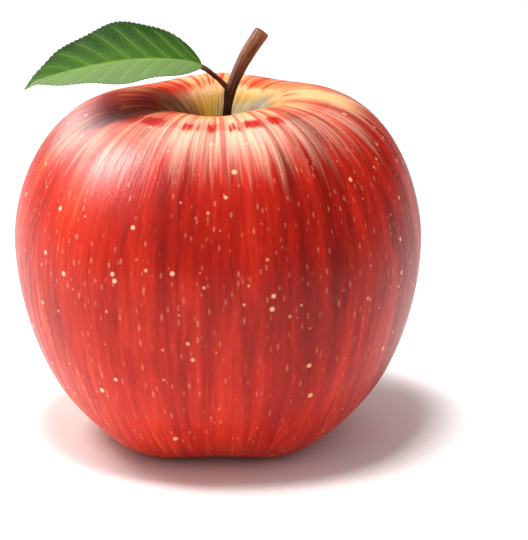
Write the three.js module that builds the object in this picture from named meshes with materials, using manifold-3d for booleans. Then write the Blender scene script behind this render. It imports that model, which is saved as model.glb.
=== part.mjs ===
// A ripe eating apple as it comes off the tree: the fruit, its woody stem with one leaf on it,
// and the dried flower remains in the hollow underneath.
//
// Millimetres, +Z up. The fruit stands on the plane Z = 0 and its stem points up. The origin is on
// that plane, in the middle of the footprint of the whole object. The stem leans towards +X, and
// the leaf reaches out towards -X and a little towards -Y.

import * as THREE from "three";
import Module from "manifold-3d";
import { mergeVertices } from "three/addons/utils/BufferGeometryUtils.js";

const { degToRad, lerp, smoothstep } = THREE.MathUtils;

// ---------------------------------------------------------------- driving dimensions

const clearance = 0.3; // gap kept between two pieces that touch

const fruitRadius = 40; // at the widest ring
const fruitHeight = 68.8; // from the feet to the crest round the stem cavity
const widestHeight = 40.5; // of the widest ring above the feet
const crestRadius = 16; // of the ring where the shoulder turns down into the stem cavity
const cavityDepth = 16; // of the stem cavity below the crest
const cavityPower = 2.2; // 2 makes the cavity a parabola, and more narrows its bottom
const footRadius = 16.5; // of the ring of feet that the fruit stands on
const basinDepth = 8; // of the calyx basin above the feet
const shoulderReach = 19.5; // how far the outline runs level outwards from the crest
const shoulderDrop = 7.5; // how far it runs upright above the widest ring
const cheekDrop = 16; // how far it runs upright below the widest ring
const footReach = 14.5; // how far it runs level outwards from the feet

const lobeCount = 5; // an apple has five carpels, so five shoulders and five feet
const lobeTurn = degToRad(18); // of the first foot, from +X
const lobeSwell = 0.004; // how far the lobes stand out half way up, as a share of the radius
const footLobeSwell = 0.02; // how much more they stand out at the feet
const crestLobeSwell = 0.01; // how much more they stand out at the crest
const ovalSwell = 0.006; // how far the fruit is from round
const ovalTurn = degToRad(29); // of its longer diameter, from +X
const footValley = 1.1; // height of the gaps between the feet
const footFade = 9; // height at which the feet have melted into the cheek
const footFlat = 0.2; // how much is pressed flat at the bottom of each foot
const crestTilt = 0.4; // how much the +X shoulder stands above the middle
const crestRipple = 0.35; // height of the five soft shoulders
const crestFade = 12; // depth at which the shoulders have melted into the cheek

const stemRise = 12.6; // of the stem's tip above the crest
const stemLean = 8.4; // of the stem's tip towards +X
const stemBack = 1; // of the stem's tip towards +Y
const stemSeat = 3; // depth of the stem's root in the flesh
const stemRootRadius = 1.15;
const stemNeckRadius = 0.85;
const stemTipRadius = 1.5;

const leafNodeRise = 0.8; // where the leaf's stalk leaves the stem, above the crest
const leafStalkReach = 5.6; // of the stalk along the leaf's heading
const leafStalkClimb = 5.5; // of the stalk, from the stem up to the blade
const leafStalkBow = 0.25; // of the stalk above a straight line
const leafStalkRadius = 0.45;
const leafLength = 34.8; // of the blade, in plan
const leafHalfWidth = 12;
const leafThickness = 0.4;
const leafArch = 1.9; // of the midrib above the line from the blade's base to its tip
const leafTipDrop = 2.1; // of the blade's tip below its base
const leafMarginCurl = 0.7; // how far the margins curl down
const leafRibRadius = 0.5; // of the midrib under the blade, at its base
const leafRibTipRadius = 0.2;
const leafHeading = degToRad(191); // from +X, seen from above
const leafFarFold = degToRad(29); // the +Y half is folded up
const leafNearFold = degToRad(-2); // the -Y half hangs a little

const eyeRadius = 2.4; // of the ring that the dried sepals stand on
const sepalLength = 4.6; // outwards along the basin's wall
const sepalHalfWidth = 1.35;
const sepalThickness = 0.45;
const sepalCurl = 1.5; // of the tip away from the basin's wall
const sepalCup = 0.3; // how far the sides bend away from the wall, at the root
const facetDepth = 0.25; // how far the basin's facets may lie inside its true curve
const stamenCount = 9;
const stamenLength = 3.4;
const stamenRadius = 0.24;
const stamenRing = 0.95; // of the ring that the stamens stand on
const cushionHeight = 1; // of the pad that the stamens grow from
const cushionRim = 0.35; // of that pad's top outside the ring of stamens

const colours = {
  skin: 0xb52a1c,
  wood: 0x6b3a20,
  leaf: 0x4f7a2a,
  sepal: 0x6a5a3c,
  stamen: 0x3a2a1c,
};

// ---------------------------------------------------------------- helpers

const fullTurn = 2 * Math.PI;
const up = new THREE.Vector3(0, 0, 1);
const bell = (distance, width) => Math.exp(-((distance / width) ** 2));

const wasm = await Module();
wasm.setup();

// A closed surface over a row of rings with the same number of points. Each ring runs
// anticlockwise seen from the side that the row goes towards, and both ends close in a fan.
function skinOver(rings) {
  const perRing = rings[0].length;
  const points = rings.flat();
  const faces = [];
  const at = (ring, k) => ring * perRing + (k % perRing);
  for (let ring = 0; ring + 1 < rings.length; ring += 1) {
    for (let k = 0; k < perRing; k += 1) {
      faces.push(at(ring, k), at(ring, k + 1), at(ring + 1, k + 1));
      faces.push(at(ring, k), at(ring + 1, k + 1), at(ring + 1, k));
    }
  }
  const last = rings.length - 1;
  const middleOf = (ring) =>
    ring.reduce((sum, p) => sum.add(p), new THREE.Vector3()).divideScalar(perRing);
  points.push(middleOf(rings[0]), middleOf(rings[last]));
  for (let k = 0; k < perRing; k += 1) {
    faces.push(points.length - 2, at(0, k + 1), at(0, k));
    faces.push(points.length - 1, at(last, k), at(last, k + 1));
  }
  const geometry = new THREE.BufferGeometry().setFromPoints(points);
  geometry.setIndex(faces);
  return geometry;
}

function solidOf(geometry) {
  const bare = geometry.clone();
  bare.deleteAttribute("normal");
  bare.deleteAttribute("uv");
  const merged = mergeVertices(bare, 1e-4);
  return new wasm.Manifold(
    new wasm.Mesh({
      numProp: 3,
      vertProperties: new Float32Array(merged.attributes.position.array),
      triVerts: new Uint32Array(merged.index.array),
    }),
  );
}

function meshOf(name, solid, colour, roughness) {
  const { vertProperties, triVerts } = solid.getMesh();
  const geometry = new THREE.BufferGeometry();
  geometry.setAttribute("position", new THREE.BufferAttribute(vertProperties, 3));
  geometry.setIndex(new THREE.BufferAttribute(triVerts, 1));
  geometry.computeVertexNormals();
  const material = new THREE.MeshStandardMaterial({ color: colour, roughness, metalness: 0 });
  const mesh = new THREE.Mesh(geometry, material);
  mesh.name = name;
  return mesh;
}

// Rings round a line, each square to it, with a radius for each share of the line's length.
function tubeAlong(curve, radiusAt, steps, sides) {
  const rings = [];
  for (let i = 0; i <= steps; i += 1) {
    const share = i / steps;
    const centre = curve.getPointAt(share);
    const along = curve.getTangentAt(share);
    const side = new THREE.Vector3(0, 1, 0).cross(along).normalize();
    const other = along.clone().cross(side);
    const ring = [];
    for (let k = 0; k < sides; k += 1) {
      const turn = (k / sides) * fullTurn;
      ring.push(
        centre
          .clone()
          .addScaledVector(side, radiusAt(share) * Math.cos(turn))
          .addScaledVector(other, radiusAt(share) * Math.sin(turn)),
      );
    }
    rings.push(ring);
  }
  return skinOver(rings);
}

// ---------------------------------------------------------------- fruit

// The outline runs from the middle of the basin, out over the foot, up the cheek, over the
// shoulder and down into the stem cavity. A place on it is a share of the way, 0 to 1, and these
// are the shares where one stretch ends and the next begins.
const basinEnd = 0.16;
const widestAt = 0.47;
const crestAt = 0.8;

const cheek = new THREE.CubicBezierCurve(
  new THREE.Vector2(footRadius, 0),
  new THREE.Vector2(footRadius + footReach, 0),
  new THREE.Vector2(fruitRadius, widestHeight - cheekDrop),
  new THREE.Vector2(fruitRadius, widestHeight),
);
const shoulder = new THREE.CubicBezierCurve(
  new THREE.Vector2(fruitRadius, widestHeight),
  new THREE.Vector2(fruitRadius, widestHeight + shoulderDrop),
  new THREE.Vector2(crestRadius + shoulderReach, fruitHeight),
  new THREE.Vector2(crestRadius, fruitHeight),
);

function basinHeight(radius) {
  return (basinDepth * (1 + Math.cos((Math.PI * radius) / footRadius))) / 2;
}

function cavityHeight(radius) {
  return fruitHeight - cavityDepth * (1 - radius / crestRadius) ** cavityPower;
}

// The outline's radius and height at a share of the way.
function outline(share) {
  if (share < basinEnd) {
    const radius = (footRadius * share) / basinEnd;
    return [radius, basinHeight(radius)];
  }
  if (share < widestAt) return cheek.getPointAt((share - basinEnd) / (widestAt - basinEnd)).toArray();
  if (share < crestAt) return shoulder.getPointAt((share - widestAt) / (crestAt - widestAt)).toArray();
  const radius = crestRadius * (1 - (share - crestAt) / (1 - crestAt));
  return [radius, cavityHeight(radius)];
}

// How far a place on the outline shares in the lift of the feet and of the crest: fully on the
// ring itself, fading up the cheek on its outside and towards the axis on its inside.
function footShare(share, height) {
  return share < basinEnd ? smoothstep(share / basinEnd, 0, 1) : bell(height, footFade);
}

function crestShare(share, height) {
  if (share > crestAt) return smoothstep((1 - share) / (1 - crestAt), 0, 1);
  return bell(fruitHeight - height, crestFade);
}

function fruitPoint(share, angle) {
  const [radius, height] = outline(share);
  const rise = height / fruitHeight;
  const lobes = Math.cos(lobeCount * (angle - lobeTurn));
  const lobeShare = lobeSwell + footLobeSwell * (1 - rise) ** 3 + crestLobeSwell * rise ** 3;
  const swell = 1 + lobeShare * lobes + ovalSwell * Math.cos(2 * (angle - ovalTurn));
  const footLift = (footValley * (1 - lobes)) / 2;
  const crestLift = crestTilt * Math.cos(angle) + crestRipple * lobes;
  const lift = footLift * footShare(share, height) + crestLift * crestShare(share, height);
  return new THREE.Vector3(
    radius * swell * Math.cos(angle),
    radius * swell * Math.sin(angle),
    height + lift - footFlat,
  );
}

function fruitGeometry() {
  const sides = 75;
  const steps = 42;
  const rings = [];
  for (let i = 1; i < steps; i += 1) {
    const ring = [];
    for (let k = 0; k < sides; k += 1) ring.push(fruitPoint(i / steps, (k / sides) * fullTurn));
    rings.push(ring);
  }
  return skinOver(rings);
}

function fruitSolid() {
  const belowGround = new THREE.BoxGeometry(4 * fruitRadius, 4 * fruitRadius, fruitHeight);
  belowGround.translate(0, 0, -fruitHeight / 2);
  return solidOf(fruitGeometry()).subtract(stemSolid(clearance)).subtract(solidOf(belowGround));
}

// ---------------------------------------------------------------- stem

const stemRootHeight = fruitHeight - cavityDepth - stemSeat;
const stemTipHeight = fruitHeight + stemRise;

// The stem's middle line, from a height that is its root's own unless a deeper one is asked for.
// Its points are shares of the stem's whole height, of its lean and of its way back.
function stemLineFrom(rootHeight) {
  const points = [
    [0, 0.04, 0],
    [0.25, 0.12, 0.02],
    [0.45, 0.19, 0.05],
    [0.6, 0.27, 0.12],
    [0.74, 0.44, 0.3],
    [0.87, 0.68, 0.6],
    [1, 1, 1],
  ].map(
    ([rise, lean, back]) =>
      new THREE.Vector3(stemLean * lean, stemBack * back, lerp(stemRootHeight, stemTipHeight, rise)),
  );
  points[0].z = rootHeight;
  return new THREE.CatmullRomCurve3(points);
}

const stemLine = stemLineFrom(stemRootHeight);

// Thick at the root, slim at the neck, and swelling from half way up into the knob at the tip.
function stemRadius(share) {
  const root = (stemRootRadius - stemNeckRadius) * (1 - smoothstep(share, 0, 0.3));
  const knob = (stemTipRadius - stemNeckRadius) * smoothstep(share, 0.5, 0.97);
  return stemNeckRadius + root + knob;
}

// The stem with some room all round it and under its root.
function stemSolid(room) {
  const line = stemLineFrom(stemRootHeight - room);
  return solidOf(tubeAlong(line, (share) => stemRadius(share) + room, 26, 12));
}

// ---------------------------------------------------------------- leaf

const heading = new THREE.Vector3(Math.cos(leafHeading), Math.sin(leafHeading), 0);
const across = new THREE.Vector3(Math.sin(leafHeading), -Math.cos(leafHeading), 0);

// The point of the stem's middle line at a height, found by halving.
function stemAtHeight(height) {
  let low = 0;
  let high = 1;
  for (let i = 0; i < 30; i += 1) {
    const middle = (low + high) / 2;
    if (stemLine.getPointAt(middle).z < height) low = middle;
    else high = middle;
  }
  return stemLine.getPointAt(low);
}

const leafNode = stemAtHeight(fruitHeight + leafNodeRise);
const bladeBase = leafNode
  .clone()
  .addScaledVector(heading, leafStalkReach)
  .addScaledVector(up, leafStalkClimb);

// A half wave over the blade's length that peaks a little before the middle.
function bladeWave(share) {
  return Math.sin(Math.PI * share ** 0.77);
}

function ribPoint(share) {
  const rise = leafArch * bladeWave(share) - leafTipDrop * share ** 2;
  return bladeBase.clone().addScaledVector(heading, leafLength * share).addScaledVector(up, rise);
}

// Rounded at the base and drawn out to a point at the tip.
function bladeHalfWidth(share) {
  const drawnOut = 1 - 0.35 * smoothstep(share, 0.78, 1);
  return leafHalfWidth * bladeWave(share) ** 0.8 * drawnOut;
}

// A point of the blade's upper side. Its side runs from -1 at the near margin to 1 at the far one.
function bladePoint(share, side) {
  const fold = side > 0 ? leafFarFold : leafNearFold;
  const reach = bladeHalfWidth(share) * side;
  const curl = leafMarginCurl * side ** 2 * Math.sin(Math.PI * share);
  return ribPoint(share)
    .addScaledVector(across, reach * Math.cos(fold))
    .addScaledVector(up, Math.abs(reach) * Math.sin(fold) - curl);
}

function bladeGeometry() {
  const steps = 24;
  const strips = 10;
  const rings = [];
  for (let i = 1; i < steps; i += 1) {
    const share = (1 - Math.cos((Math.PI * i) / steps)) / 2; // closer together towards both ends
    const upper = [];
    for (let k = 0; k <= strips; k += 1) upper.push(bladePoint(share, (2 * k) / strips - 1));
    const lower = upper.map((p) => p.clone().addScaledVector(up, -leafThickness)).reverse();
    rings.push([...upper, ...lower]);
  }
  return skinOver(rings);
}

// The stalk, and the midrib that carries on from it along the blade's underside.
function ribGeometry() {
  const line = new THREE.CatmullRomCurve3([
    leafNode.clone(),
    leafNode.clone().lerp(bladeBase, 0.5).addScaledVector(up, leafStalkBow),
    ...[0.02, 0.2, 0.4, 0.6, 0.8, 0.94].map((share) =>
      ribPoint(share).addScaledVector(up, -leafThickness),
    ),
  ]);
  const stalkShare = bladeBase.distanceTo(leafNode) / line.getLength();
  const radiusAt = (share) =>
    share < stalkShare
      ? lerp(leafStalkRadius, leafRibRadius, smoothstep(share, 0, stalkShare))
      : lerp(leafRibRadius, leafRibTipRadius, (share - stalkShare) / (1 - stalkShare));
  return tubeAlong(line, radiusAt, 26, 8);
}

function leafSolid() {
  return solidOf(bladeGeometry()).add(solidOf(ribGeometry())).subtract(stemSolid(clearance));
}

// ---------------------------------------------------------------- dried flower remains

// Height of the basin's skin at a radius and angle.
function basinSurface(radius, angle) {
  return fruitPoint((basinEnd * radius) / footRadius, angle).z;
}

// One sepal, lying outwards under the basin's wall: narrow at its root, broad, then pointed.
function sepalSolid(angle) {
  const outwards = new THREE.Vector3(Math.cos(angle), Math.sin(angle), 0);
  const sideways = new THREE.Vector3(-Math.sin(angle), Math.cos(angle), 0);
  const hang = clearance + facetDepth + sepalThickness;
  const steps = 9;
  const strips = 4;
  const rings = [];
  for (let i = 0; i <= steps; i += 1) {
    const share = i / steps;
    const radius = eyeRadius + sepalLength * share;
    const middle = basinSurface(radius, angle) - hang - sepalCurl * share ** 1.6;
    const halfWidth = sepalHalfWidth * (0.12 + 0.88 * Math.sin(Math.PI * (0.3 + 0.7 * share)));
    const lower = [];
    for (let k = 0; k <= strips; k += 1) {
      const side = (2 * k) / strips - 1;
      const cup = sepalCup * side ** 2 * (1 - share);
      lower.push(
        outwards
          .clone()
          .multiplyScalar(radius)
          .addScaledVector(sideways, halfWidth * side)
          .addScaledVector(up, middle - cup),
      );
    }
    const upper = lower.map((p) => p.clone().addScaledVector(up, sepalThickness)).reverse();
    rings.push([...lower, ...upper]);
  }
  return solidOf(skinOver(rings));
}

// One stamen hangs down from the cushion and leans outwards; the lengths differ a little.
function stamenSolid(index, seatHeight) {
  const angle = (index / stamenCount) * fullTurn;
  const outwards = new THREE.Vector3(Math.cos(angle), Math.sin(angle), 0);
  const length = stamenLength * (0.8 + 0.2 * Math.sin(3 * index));
  const pointAt = (reach, drop) =>
    outwards.clone().multiplyScalar(stamenRing * reach).setZ(seatHeight - drop);
  const line = new THREE.CatmullRomCurve3([
    pointAt(0.8, cushionHeight / 2),
    pointAt(1, length / 2),
    pointAt(1.3, length),
  ]);
  return solidOf(tubeAlong(line, () => stamenRadius, 5, 5));
}

function tuftSolid() {
  const seatHeight = basinHeight(eyeRadius) - footFlat - clearance;
  const rim = stamenRing + cushionRim;
  const cushion = new THREE.CylinderGeometry(rim, stamenRing, cushionHeight, 20);
  cushion.rotateX(Math.PI / 2).translate(0, 0, seatHeight - cushionHeight / 2);
  let tuft = solidOf(cushion);
  for (let k = 0; k < stamenCount; k += 1) tuft = tuft.add(stamenSolid(k, seatHeight));
  return tuft;
}

// ---------------------------------------------------------------- the assembly

const apple = new THREE.Group();
apple.add(meshOf("fruit", fruitSolid(), colours.skin, 0.3));
apple.add(meshOf("stem", stemSolid(0), colours.wood, 0.7));
apple.add(meshOf("leaf", leafSolid(), colours.leaf, 0.5));
for (let k = 0; k < lobeCount; k += 1) {
  const angle = lobeTurn + ((k + 0.5) / lobeCount) * fullTurn;
  apple.add(meshOf(`sepal_${k + 1}`, sepalSolid(angle), colours.sepal, 0.9));
}
apple.add(meshOf("stamen_tuft", tuftSolid(), colours.stamen, 0.9));

// The origin sits under the middle of the whole footprint.
const footprint = new THREE.Box3().setFromObject(apple, true).getCenter(new THREE.Vector3());
apple.position.set(-footprint.x, -footprint.y, 0);

export default apple;
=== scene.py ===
"""A ripe eating apple with its stem, one leaf and the dried flower underneath.

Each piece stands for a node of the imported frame, takes its place from that frame, and rides on its
body. Lengths are in metres, +Z is up, and the fruit stands on Z = 0.
"""

import math

import bpy
import numpy as np
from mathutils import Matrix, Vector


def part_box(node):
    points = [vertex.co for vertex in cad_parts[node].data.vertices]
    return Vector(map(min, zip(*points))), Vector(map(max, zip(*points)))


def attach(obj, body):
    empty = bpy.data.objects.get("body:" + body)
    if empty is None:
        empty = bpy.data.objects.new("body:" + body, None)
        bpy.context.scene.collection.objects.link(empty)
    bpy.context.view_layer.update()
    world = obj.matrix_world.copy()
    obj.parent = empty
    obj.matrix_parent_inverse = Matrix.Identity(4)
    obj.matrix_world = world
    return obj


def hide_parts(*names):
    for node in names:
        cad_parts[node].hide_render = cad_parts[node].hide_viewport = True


bl_info = {
    "name": "Apple with a leaf",
    "version": (1, 0, 0),
    "blender": (4, 5, 0),
    "location": "View3D > Sidebar > Apple",
    "description": "Builds a ripe apple, its stem, its leaf and its dried flower round a packed frame",
    "category": "Add Mesh",
}

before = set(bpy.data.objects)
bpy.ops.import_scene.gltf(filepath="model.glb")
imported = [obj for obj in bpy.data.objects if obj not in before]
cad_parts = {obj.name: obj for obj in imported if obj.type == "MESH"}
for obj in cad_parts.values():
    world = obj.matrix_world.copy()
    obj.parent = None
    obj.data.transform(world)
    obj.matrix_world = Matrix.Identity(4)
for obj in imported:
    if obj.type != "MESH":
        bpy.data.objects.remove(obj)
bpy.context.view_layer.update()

MM = 0.001
BODY = "root"
LOBES = 5  # an apple has five carpels, so five feet, five shoulders and five sepals
SEPALS = [f"sepal_{k + 1}" for k in range(LOBES)]
FULL_TURN = 2 * math.pi


def middle_of(node):
    """The middle of a frame node's box."""
    low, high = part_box(node)
    return (low + high) / 2


# The core stands upright in the middle of the ring of sepals.
CORE = np.mean([middle_of(name) for name in SEPALS], axis=0) * (1, 1, 0)
STEM_FOOT, STEM_TOP = (corner.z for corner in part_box("stem"))


# ---------------------------------------------------------------- sizes and colours


def length(name, description, default):
    """A length property in metres."""
    return bpy.props.FloatProperty(
        name=name, description=description, default=default, unit="LENGTH", precision=5
    )


def share(name, description, default):
    """A plain number property, such as a share of another size."""
    return bpy.props.FloatProperty(name=name, description=description, default=default, precision=3)


def whole(name, description, default):
    """A whole number property."""
    return bpy.props.IntProperty(name=name, description=description, default=default)


def turn(name, description, degrees):
    """An angle property, given in degrees."""
    return bpy.props.FloatProperty(
        name=name, description=description, default=math.radians(degrees), unit="ROTATION"
    )


def linear(level):
    """The linear value of one screen level from 0 to 255."""
    level /= 255
    return level / 12.92 if level <= 0.04045 else ((level + 0.055) / 1.055) ** 2.4


def shade(red, green, blue):
    """A linear colour from its screen levels, 0 to 255."""
    return linear(red), linear(green), linear(blue)


def colour(name, description, *levels):
    """A colour property, given in screen levels."""
    return bpy.props.FloatVectorProperty(
        name=name,
        description=description,
        default=shade(*levels),
        subtype="COLOR",
        min=0,
        max=1,
        size=3,
    )


class FruitSizes(bpy.types.PropertyGroup):
    radius: length("Radius", "Of the widest ring", 40 * MM)
    height: length("Height", "From the feet to the crest round the stem cavity", 68.8 * MM)
    widest_height: length("Widest height", "Of the widest ring above the feet", 40.5 * MM)
    crest_radius: length("Crest radius", "Where the shoulder turns down into the cavity", 16 * MM)
    cavity_depth: length("Cavity depth", "Of the stem cavity below the crest", 16 * MM)
    cavity_power: share("Cavity power", "2 makes it a parabola, more narrows its bottom", 2.2)
    foot_radius: length("Foot radius", "Of the ring of feet", 16.5 * MM)
    basin_depth: length("Basin depth", "Of the calyx basin above the feet", 8 * MM)
    shoulder_reach: length("Shoulder reach", "How far it runs level from the crest", 19.5 * MM)
    shoulder_drop: length("Shoulder drop", "How far it runs upright above the middle", 7.5 * MM)
    cheek_drop: length("Cheek drop", "How far it runs upright below the middle", 16 * MM)
    foot_reach: length("Foot reach", "How far it runs level from the feet", 14.5 * MM)
    lobe_turn: turn("Lobe turn", "Of the first foot, from +X", 18)
    lobe_swell: share("Lobe swell", "How far the lobes stand out half way up", 0.004)
    foot_lobe_swell: share("Foot lobe swell", "How much more they stand out at the feet", 0.02)
    crest_lobe_swell: share("Crest lobe swell", "How much more they stand out on top", 0.01)
    oval_swell: share("Oval swell", "How far the fruit is from round", 0.006)
    oval_turn: turn("Oval turn", "Of its longer diameter, from +X", 29)
    foot_valley: length("Foot valley", "Height of the gaps between the feet", 1.1 * MM)
    foot_fade: length("Foot fade", "Height where the feet melt into the cheek", 9 * MM)
    foot_flat: length("Foot flat", "How much of each foot is pressed flat", 0.2 * MM)
    crest_tilt: length("Crest tilt", "How much the +X shoulder stands higher", 0.4 * MM)
    crest_ripple: length("Crest ripple", "Height of the five soft shoulders", 0.35 * MM)
    crest_fade: length("Crest fade", "Depth where the shoulders melt into the cheek", 12 * MM)
    dent_depth: length("Dent depth", "Of the shallow dents all over the skin", 0.16 * MM)


class StemSizes(bpy.types.PropertyGroup):
    lean: length("Lean", "Of the tip towards +X", 8.4 * MM)
    back: length("Back", "Of the tip towards +Y", 1 * MM)
    root_radius: length("Root radius", "Where it leaves the flesh", 1.15 * MM)
    neck_radius: length("Neck radius", "At its slimmest", 0.85 * MM)
    tip_radius: length("Tip radius", "Of the knob", 1.5 * MM)
    wrinkle: share("Wrinkle", "Depth of the bark's wrinkles, as a share of the radius", 0.045)
    node_swell: length("Node swell", "How far the stem swells where the leaf joins", 0.35 * MM)


class LeafSizes(bpy.types.PropertyGroup):
    node_height: length("Node height", "Where the stalk leaves the stem", 69.6 * MM)
    stalk_reach: length("Stalk reach", "Of the stalk along the leaf's heading", 5.6 * MM)
    stalk_climb: length("Stalk climb", "Of the stalk from the stem to the blade", 5.5 * MM)
    stalk_bow: length("Stalk bow", "Of the stalk above a straight line", 0.25 * MM)
    stalk_radius: length("Stalk radius", "At the stem", 0.45 * MM)
    rib_radius: length("Rib radius", "Of the midrib at the blade's base", 0.5 * MM)
    rib_tip_radius: length("Rib tip radius", "Of the midrib near the tip", 0.2 * MM)
    length: length("Length", "Of the blade, in plan", 34.8 * MM)
    half_width: length("Half width", "Of the blade", 12 * MM)
    thickness: length("Thickness", "Of the blade", 0.34 * MM)
    arch: length("Arch", "Of the midrib above a straight line", 1.9 * MM)
    tip_drop: length("Tip drop", "Of the tip below the base", 2.1 * MM)
    margin_curl: length("Margin curl", "How far the margins curl down", 0.7 * MM)
    heading: turn("Heading", "From +X, seen from above", 191)
    far_fold: turn("Far fold", "How far the +Y half is folded up", 29)
    near_fold: turn("Near fold", "How far the -Y half is folded up", -2)
    vein_pairs: whole("Vein pairs", "Side veins on each half", 9)
    vein_depth: length("Vein depth", "Of the furrows over the veins", 0.14 * MM)
    teeth: whole("Teeth", "Along each margin", 38)
    tooth_depth: length("Tooth depth", "Of the teeth on the margin", 0.42 * MM)


class FlowerSizes(bpy.types.PropertyGroup):
    eye_radius: length("Eye radius", "Of the ring that the sepals stand on", 2.4 * MM)
    sepal_length: length("Sepal length", "Outwards along the basin's wall", 4.6 * MM)
    sepal_half_width: length("Sepal half width", "At its broadest", 1.35 * MM)
    sepal_thickness: length("Sepal thickness", "At its root", 0.4 * MM)
    sepal_gap: length("Sepal gap", "From the basin's wall down to the sepal's root", 0.6 * MM)
    sepal_curl: length("Sepal curl", "Of the tip away from the wall", 1.5 * MM)
    stamens: whole("Stamens", "Withered threads", 14)
    stamen_length: length("Stamen length", "Of the longest thread", 3.4 * MM)
    stamen_radius: length("Stamen radius", "Of a thread", 0.15 * MM)
    stamen_ring: length("Stamen ring", "Of the ring that they stand on", 0.95 * MM)


class AppleColours(bpy.types.PropertyGroup):
    # Olive and lime are the cavity's green skin, darkened deep in the cavity as painted shade.
    olive: colour("Olive", "Skin at the bottom of the cavity", 118, 92, 24)
    lime: colour("Lime", "Skin in the shade of the cavity", 176, 130, 16)
    straw: colour("Straw", "Skin with no blush", 228, 170, 116)
    orange: colour("Orange", "Skin with a light blush", 224, 104, 50)
    scarlet: colour("Scarlet", "Skin with a full blush", 210, 46, 22)
    crimson: colour("Crimson", "Skin with a deep blush", 172, 26, 11)
    maroon: colour("Maroon", "Darkest stripes", 122, 14, 6)
    butter: colour("Butter", "The pale wedge on one shoulder", 240, 198, 136)
    # This brown is the cavity's russet and also paints shade on its -X wall.
    russet_and_shade: colour("Russet", "Corky skin on the wall of the cavity", 120, 60, 30)
    cream: colour("Cream", "Spots and pale streaks", 248, 206, 176)
    gold: colour("Gold", "Spots in the deep blush", 226, 148, 74)
    bark: colour("Bark", "Stem in the light", 116, 58, 28)
    bark_dark: colour("Dark bark", "Stem in its furrows and at its root", 52, 24, 14)
    bark_pale: colour("Pale bark", "Stem on its ridges and at its tip", 166, 104, 62)
    stalk: colour("Stalk", "Of the leaf", 92, 34, 22)
    leaf_dark: colour("Dark leaf", "Blade between the veins", 26, 58, 8)
    leaf_light: colour("Light leaf", "Blade near the veins", 64, 104, 22)
    leaf_vein: colour("Leaf vein", "Veins and midrib", 120, 152, 62)
    # This green is the blade's underside and also paints sheen on its near half.
    leaf_under_and_sheen: colour("Leaf underside", "Underside of the blade", 124, 152, 92)
    husk: colour("Husk", "Dried sepals", 118, 90, 56)
    husk_dark: colour("Dark husk", "Dried sepals at their tips and folds", 56, 38, 22)
    thread: colour("Thread", "Withered stamens", 62, 40, 24)


class AppleSettings(bpy.types.PropertyGroup):
    fruit: bpy.props.PointerProperty(type=FruitSizes, name="Fruit", description="Sizes of the fruit")
    stem: bpy.props.PointerProperty(type=StemSizes, name="Stem", description="Sizes of the stem")
    leaf: bpy.props.PointerProperty(type=LeafSizes, name="Leaf", description="Sizes of the leaf")
    flower: bpy.props.PointerProperty(
        type=FlowerSizes, name="Flower", description="Sizes of the dried flower"
    )
    colours: bpy.props.PointerProperty(
        type=AppleColours, name="Colours", description="Colours of every piece"
    )


# ---------------------------------------------------------------- shapes

CURVE_STEPS = 400  # close points along a whole curve, before they are spaced evenly
STRETCH_STEPS = 60  # the same, for each stretch of a line through a few points


def smooth(value, low=0.0, high=1.0):
    """0 below low, 1 above high, and a soft S between them."""
    t = np.clip((value - low) / (high - low), 0, 1)
    return t * t * (3 - 2 * t)


def bell(distance, width):
    """1 at no distance, falling off on both sides over about a width."""
    return np.exp(-((distance / width) ** 2))


def lerp(first, second, t):
    """The value a share t of the way from first to second."""
    return first + (second - first) * t


def bezier(start, leave, arrive, end, shares):
    """Points of a cubic curve with two handles, at shares of its own length."""
    t = np.linspace(0, 1, CURVE_STEPS)[:, None]
    points = (
        (1 - t) ** 3 * np.array(start)
        + 3 * (1 - t) ** 2 * t * np.array(leave)
        + 3 * (1 - t) * t**2 * np.array(arrive)
        + t**3 * np.array(end)
    )
    return along(points, shares)


def along(points, shares):
    """Points at shares of the length of a line through many close points."""
    steps = np.linalg.norm(np.diff(points, axis=0), axis=1)
    way = np.concatenate([[0], np.cumsum(steps)]) / steps.sum()
    return np.stack([np.interp(shares, way, axis) for axis in points.T], axis=-1)


def smooth_line(points, count):
    """Evenly spaced points of a smooth line through a few points. Each stretch is a cubic, and its
    slope at a point comes from the points on both sides, weighed by the roots of their distances."""
    points = np.array(points, float)
    ends = [2 * points[0] - points[1], 2 * points[-1] - points[-2]]
    padded = np.vstack([ends[:1], points, ends[1:]])
    gaps = np.sqrt(np.linalg.norm(np.diff(padded, axis=0), axis=1))[:, None]
    chords = np.diff(padded, axis=0)
    before, here, after = chords[:-2], chords[1:-1], chords[2:]
    g0, g1, g2 = gaps[:-2], gaps[1:-1], gaps[2:]
    leave = (before / g0 - (before + here) / (g0 + g1) + here / g1) * g1
    arrive = (here / g1 - (here + after) / (g1 + g2) + after / g2) * g1
    t = np.linspace(0, 1, STRETCH_STEPS)[None, :, None]
    start = points[:-1, None]
    cubic = (
        start
        + leave[:, None] * t
        + (3 * here - 2 * leave - arrive)[:, None] * t**2
        + (leave + arrive - 2 * here)[:, None] * t**3
    )
    return along(cubic.reshape(-1, 3), np.linspace(0, 1, count))


def tube(line, radii, turns):
    """Rings round a line, each square to it: its point plus the radius times the cosine of the turn
    sideways and the sine of the turn the other way. Radii hold one row for each point."""
    tangent = np.gradient(line, axis=0)
    tangent /= np.linalg.norm(tangent, axis=1, keepdims=True)
    side = np.cross([0.0, 1.0, 0.0], tangent)
    side /= np.linalg.norm(side, axis=1, keepdims=True)
    other = np.cross(tangent, side)
    round_ = np.cos(turns)[None, :, None] * side[:, None] + np.sin(turns)[None, :, None] * other[:, None]
    return line[:, None] + radii[..., None] * round_


def marks_for(rows, sides):
    """UV marks that run once round each ring and once along the rows."""
    u, v = np.meshgrid(np.linspace(0, 1, sides + 1), np.linspace(0, 1, rows))
    return np.stack([u, v], axis=-1)


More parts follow.
